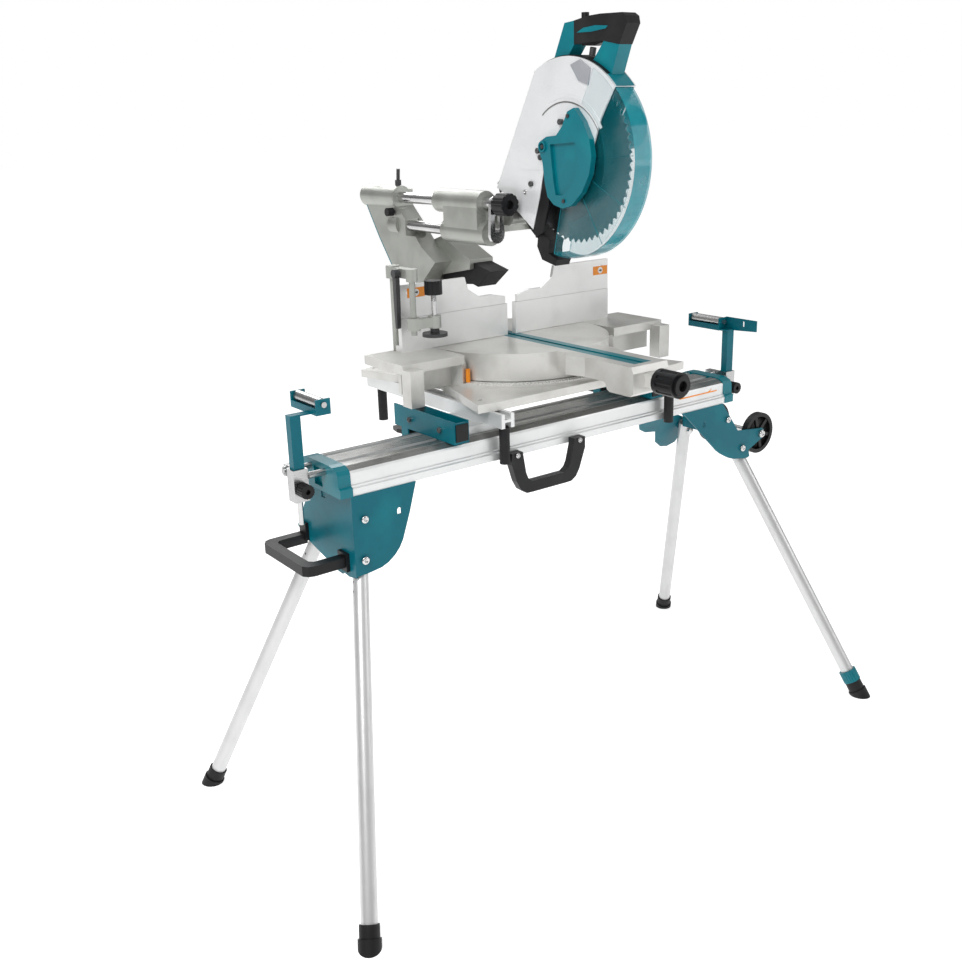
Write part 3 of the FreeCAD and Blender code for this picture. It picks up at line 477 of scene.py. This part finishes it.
def case_front():
    """The small plate low on the case, the dark gap in front of it and the plate's bolt."""
    plate = [(154, 1178), (78, 1179), (90, 1130), (112, 1066), (168, 1104)]
    extruded("case_plate", plate, "X", 53.2, 55.8, "case_white", "head")
    # The black piece in the gap in front of the plate is painted shade.
    gap = [(78, 1175), (66, 1151), (64, 1117), (84, 1061), (105, 1050), (112, 1065), (90, 1130)]
    extruded("case_shadow_gap", gap, "X", 54.4, 59.5, "black_plastic", "head")
    bolt_head("plate_bolt", (53.2, 134.0, 1137.0), LEFTWARD, 5, 2.4, "head", "bright")


def guard_and_case_rims():
    """The guard's clear outer wall, the case's front rim and two darker strips in its side that paint
    the shade of its grooves.
    """
    ring_piece("guard_wall", ARBOR_Y, ARBOR_Z, 113, 66.5, 51.5, 52.5, 117, 262, "clear_sheet",
               "guard")
    ring_piece("case_rim_cover", ARBOR_Y, ARBOR_Z, 184.2, 1.5, 61, 103, 126.5, 136, "teal_plastic",
               "head", steps=8)
    # Flat strips in the darker grey stand for the two grooves: painted shade.
    grooves = [(103.5, 2.6, 52, 112), (104.5, 1.6, 112, 150)]
    for index, (radius, width, start, stop) in enumerate(grooves):
        ring_piece(f"case_groove_shade_{index}", ARBOR_Y, ARBOR_Z, radius, width, 55.4, 55.9, start, stop,
                   "painted_shade_grey", "head", steps=24)


def hinge_cover():
    """The dark arm beside the case, seen past its rear edge."""
    outline = [(228, 1210), (251, 1174), (281, 1147), (274, 1128), (239, 1140), (212, 1169),
               (210, 1195)]
    extruded("hinge_cover", outline, "X", 97, 101, "dark_paint", "head")


def arm_rear_strip():
    """The thin teal edge down the back of the bevel casting."""
    outline = [(671, 1112), (672.9, 1111), (659.6, 1086), (614.6, 1020), (565, 957.6), (563.2, 960),
               (612.2, 1022), (657.2, 1088)]
    extruded("arm_rear_strip", outline, "X", 6, 50, "teal_plastic", "bevel")


def vise_thread():
    """A few turns of thread below the vise knob, above where the screw enters the arm."""
    pitch = 1.5
    root, crest = 5.05, 5.45
    profile = []
    for turn in range(8):
        z = turn * pitch
        profile += [(z, root), (z + pitch / 3, crest), (z + 2 * pitch / 3, crest), (z + pitch, root)]
    turned("vise_thread", (-150, 172, 942.0), UPWARD, profile, "bright", "hold_down_screw", 24)


fence_label("fence_label_left", -178, -136, 945, 964, "left_fence")
fence_label("fence_label_right", 314, 356, 938, 957, "right_fence")
scale_ticks()
grip_inlays()
case_bolts()
guard_ribs()
case_front()
guard_and_case_rims()
hinge_cover()
arm_rear_strip()
vise_thread()


# ---------------------------------------------------------------- floor, light and camera
FLOOR_HALF = 40.0
FLOOR_GLOW = 0.62
SKY_LIGHT = 0.8


def studio_floor():
    """A wide pale floor that glows a little, so that it fades into the white backdrop."""
    mesh = bpy.data.meshes.new("floor")
    corners = [(-FLOOR_HALF, -FLOOR_HALF, 0), (FLOOR_HALF, -FLOOR_HALF, 0),
               (FLOOR_HALF, FLOOR_HALF, 0), (-FLOOR_HALF, FLOOR_HALF, 0)]
    mesh.from_pydata(corners, [], [(0, 1, 2, 3)])
    floor = bpy.data.objects.new("floor", mesh)
    bpy.context.scene.collection.objects.link(floor)
    floor.location.z = -0.0005
    paint = surface("pale floor", (0.8, 0.8, 0.8), (0.78, 0.78, 0.78), (0.7, 0.8), 0.0, 40, 0.0001)
    bsdf = paint.node_tree.nodes["Principled BSDF"]
    bsdf.inputs["Emission Color"].default_value = (1.0, 1.0, 1.0, 1)
    bsdf.inputs["Emission Strength"].default_value = FLOOR_GLOW
    mesh.materials.append(paint)


def studio_world():
    """White to the camera, and a soft grey gradient, darker below, as light and in reflections."""
    world = bpy.data.worlds.new("studio")
    bpy.context.scene.world = world
    world.use_nodes = True
    nodes = world.node_tree.nodes
    link = world.node_tree.links.new
    sky = nodes["Background"]
    backdrop = nodes.new("ShaderNodeBackground")
    backdrop.inputs["Color"].default_value = (1.0, 1.0, 1.0, 1)
    backdrop.inputs["Strength"].default_value = 1.0
    seen = nodes.new("ShaderNodeLightPath")
    choice = nodes.new("ShaderNodeMixShader")
    coords = nodes.new("ShaderNodeTexCoord")
    height = nodes.new("ShaderNodeSeparateXYZ")
    shades = nodes.new("ShaderNodeValToRGB")
    stops = shades.color_ramp.elements
    stops[0].position = 0.0
    stops[0].color = (0.16, 0.16, 0.16, 1)
    stops[1].position = 1.0
    stops[1].color = (0.9, 0.9, 0.9, 1)
    middle = stops.new(0.35)
    middle.color = (0.34, 0.34, 0.34, 1)
    link(coords.outputs["Generated"], height.inputs[0])
    link(height.outputs["Z"], shades.inputs["Fac"])
    link(shades.outputs["Color"], sky.inputs["Color"])
    sky.inputs["Strength"].default_value = SKY_LIGHT
    link(seen.outputs["Is Camera Ray"], choice.inputs["Fac"])
    link(sky.outputs["Background"], choice.inputs[1])
    link(backdrop.outputs["Background"], choice.inputs[2])
    link(choice.outputs["Shader"], nodes["World Output"].inputs["Surface"])


studio_floor()
studio_world()
bpy.context.scene.view_settings.view_transform = "Standard"


def area_light(name, spot, target, size, power):
    """A rectangular lamp at spot that faces target, with size in metres and power in watts."""
    lamp = bpy.data.lights.new(name, "AREA")
    lamp.shape = "RECTANGLE"
    lamp.size = size[0]
    lamp.size_y = size[1]
    lamp.energy = power
    obj = bpy.data.objects.new(name, lamp)
    bpy.context.scene.collection.objects.link(obj)
    obj.location = spot
    obj.rotation_euler = (Vector(target) - Vector(spot)).to_track_quat("-Z", "Y").to_euler()


area_light("key", (-2.2, -1.2, 2.9), (0, 0, 0.9), (1.6, 1.6), 62)
area_light("fill", (2.4, -2.6, 1.8), (0, 0, 0.8), (2.0, 2.0), 22)
area_light("rim", (0.6, 2.6, 2.4), (0, 0, 1.0), (2.0, 1.0), 30)

YAW = math.radians(36.26)
PITCH = math.radians(18.33)
ROLL = -0.0301
LENS_MM = 41.35


def main_camera():
    """The view of the whole saw and stand from the front left, a little above the table."""
    data = bpy.data.cameras.new("camera")
    data.lens = LENS_MM
    data.sensor_width = 36.0
    camera = bpy.data.objects.new("camera", data)
    bpy.context.scene.collection.objects.link(camera)
    forward = Vector((math.sin(YAW) * math.cos(PITCH), math.cos(YAW) * math.cos(PITCH),
                      -math.sin(PITCH)))
    right = Vector((math.cos(YAW), -math.sin(YAW), 0))
    up = right.cross(forward)
    level_right = right * math.cos(ROLL) + up * math.sin(ROLL)
    level_up = up * math.cos(ROLL) - right * math.sin(ROLL)
    where = place(-1359.0, -1614.2, 1283.7)
    rows = [(level_right[i], level_up[i], -forward[i], where[i]) for i in range(3)]
    camera.matrix_world = Matrix([*rows, (0, 0, 0, 1)])
    bpy.context.scene.camera = camera


main_camera()
